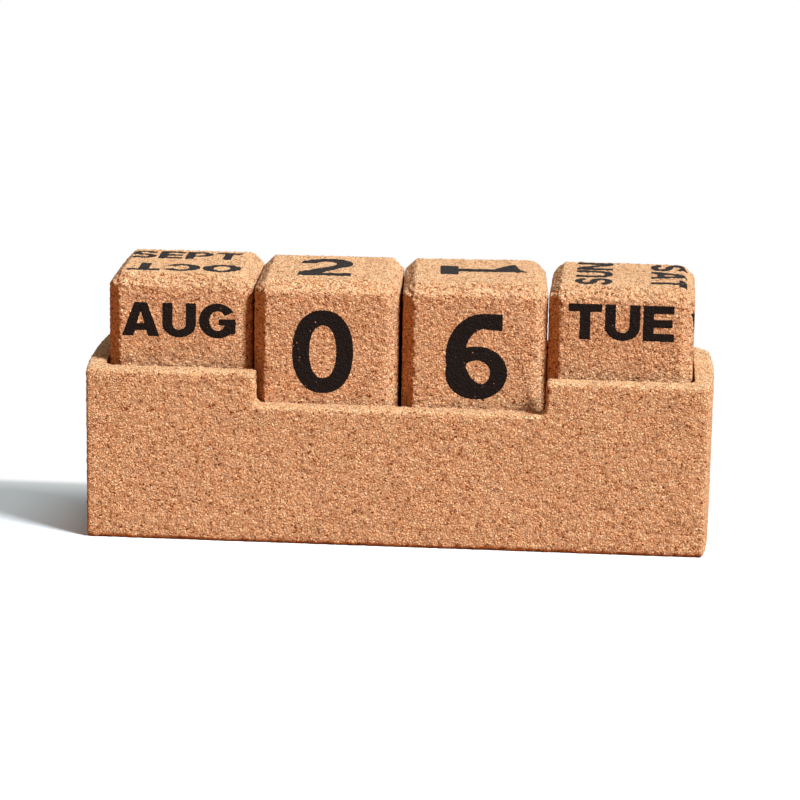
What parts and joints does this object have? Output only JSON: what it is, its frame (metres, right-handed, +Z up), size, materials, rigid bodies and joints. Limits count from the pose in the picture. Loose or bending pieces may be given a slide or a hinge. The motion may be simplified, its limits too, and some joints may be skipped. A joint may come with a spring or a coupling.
{
  "type": "desk calendar",
  "caption": "Perpetual block calendar: a stepped cork tray holding a row of loose bevelled cork cubes for month, date and weekday.",
  "frame": {"origin": "middle of the tray's underside", "axes": "+X along the row of cubes, +Z up, the front face looks along -Y"},
  "size_m": [0.197, 0.0614, 0.0826],
  "materials": {
    "tray_cork": "fine agglomerated cork, sawn and unsealed",
    "cube_cork": "fine agglomerated cork with near-black printed marks"
  },
  "bodies": {
    "tray": {"tray": "tray_cork"},
    "month_cube": {"month_cube": "cube_cork"},
    "tens_cube": {"tens_cube": "cube_cork"},
    "units_cube": {"units_cube": "cube_cork"},
    "weekday_cube": {"weekday_cube": "cube_cork"}
  },
  "joints": [
    {"name": "month_lift", "type": "slide", "parent": "tray", "child": "month_cube", "axis": [0, 0, 1], "range_m": [0, 0.05]},
    {"name": "tens_lift", "type": "slide", "parent": "tray", "child": "tens_cube", "axis": [0, 0, 1], "range_m": [0, 0.05]},
    {"name": "units_lift", "type": "slide", "parent": "tray", "child": "units_cube", "axis": [0, 0, 1], "range_m": [0, 0.05]},
    {"name": "weekday_lift", "type": "slide", "parent": "tray", "child": "weekday_cube", "axis": [0, 0, 1], "range_m": [0, 0.05]}
  ]
}
